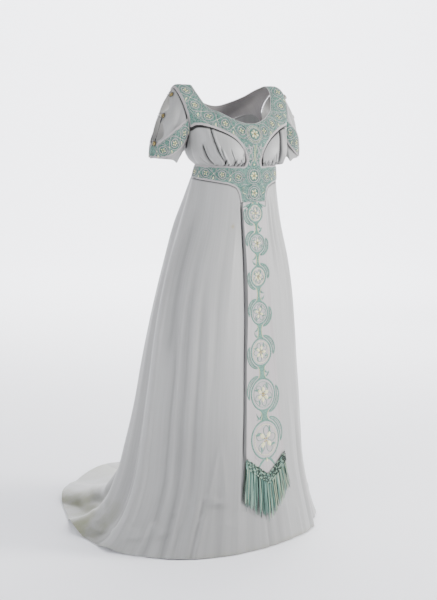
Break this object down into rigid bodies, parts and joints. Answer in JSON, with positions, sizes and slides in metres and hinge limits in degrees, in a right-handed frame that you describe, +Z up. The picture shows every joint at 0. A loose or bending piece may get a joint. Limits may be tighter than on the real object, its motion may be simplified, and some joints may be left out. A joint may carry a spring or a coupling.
{
  "type": "empire-line evening dress with a train, in its worn form with no wearer",
  "caption": "High-waisted silk evening dress with embroidered yoke, waistband and hanging panel, slit buttoned sleeves, fringe and a short train.",
  "frame": {"origin": "midway between the tops of the two shoulders, where the wearer holds the dress up", "axes": "+Z up along the wearer's body, +X to the wearer's left, -Y to the front, so the train lies towards +Y"},
  "size_m": [0.8838, 1.2033, 1.3775],
  "materials": {
    "silk": "satin",
    "embroidery": "matte, embroidered",
    "fringe_silk": "satin",
    "gilt": "worn gilt",
    "black_cord": "matte"
  },
  "bodies": {
    "root": {"bodice_back_left": "silk", "bodice_back_right": "silk", "bodice_cup_left": "silk", "bodice_cup_right": "silk", "button_left_1": "gilt", "button_left_2": "gilt", "button_left_3": "gilt", "button_right_1": "gilt", "button_right_2": "gilt", "button_right_3": "gilt", "fringe": "fringe_silk", "front_panel": "embroidery", "loop_left_1": "black_cord", "loop_left_2": "black_cord", "loop_left_3": "black_cord", "loop_right_1": "black_cord", "loop_right_2": "black_cord", "loop_right_3": "black_cord", "skirt_back_left": "silk", "skirt_back_right": "silk", "skirt_front": "silk", "sleeve_band_left_back": "embroidery", "sleeve_band_left_front": "embroidery", "sleeve_band_right_back": "embroidery", "sleeve_band_right_front": "embroidery", "sleeve_left": "silk", "sleeve_right": "silk", "waistband": "embroidery", "yoke_back_left": "embroidery", "yoke_back_right": "embroidery", "yoke_front": "embroidery"}
  },
  "joints": []
}
